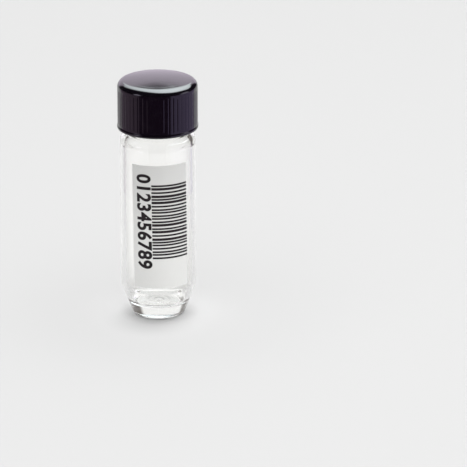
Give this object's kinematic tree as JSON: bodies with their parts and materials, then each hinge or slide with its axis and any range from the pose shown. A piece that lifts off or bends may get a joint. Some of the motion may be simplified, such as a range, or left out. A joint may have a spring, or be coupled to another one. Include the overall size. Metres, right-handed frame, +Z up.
{
  "type": "glass sample vial",
  "caption": "Small clear glass vial with a bevelled base, a ribbed black screw cap, a liner inside the cap and a printed label on the body.",
  "frame": {"origin": "centre of the base, on the surface the vial stands on", "axes": "+Z up along the vial's axis, from base to cap; the label is centred on the -Y side; +X to the right when the label is faced"},
  "size_m": [0.0158, 0.0158, 0.0481],
  "materials": {
    "glass": "clear drawn tubing glass, fire-polished lip",
    "cap": "black moulded thermoset with a slight purple cast, glossy",
    "liner": "pale soft liner disc, matt",
    "label": "off-white film label stock, satin, black thermal print"
  },
  "bodies": {
    "vial": {"glass_vial": "glass", "label": "label"},
    "liner": {"cap_liner": "liner"},
    "cap": {"screw_cap": "cap"}
  },
  "joints": [
    {"name": "cap_lift", "type": "slide", "parent": "vial", "child": "liner", "axis": [0, 0, 1], "range_m": [0, 0.01058]},
    {"name": "cap_turn", "type": "hinge", "parent": "liner", "child": "cap", "pos_m": [0, 0, 0.0464], "axis": [0, 0, 1], "range_deg": [0, 1800]}
  ],
  "couplings": [
    {"joint": "cap_turn", "follows": "cap_lift", "rad_per_m": 2968.4}
  ]
}
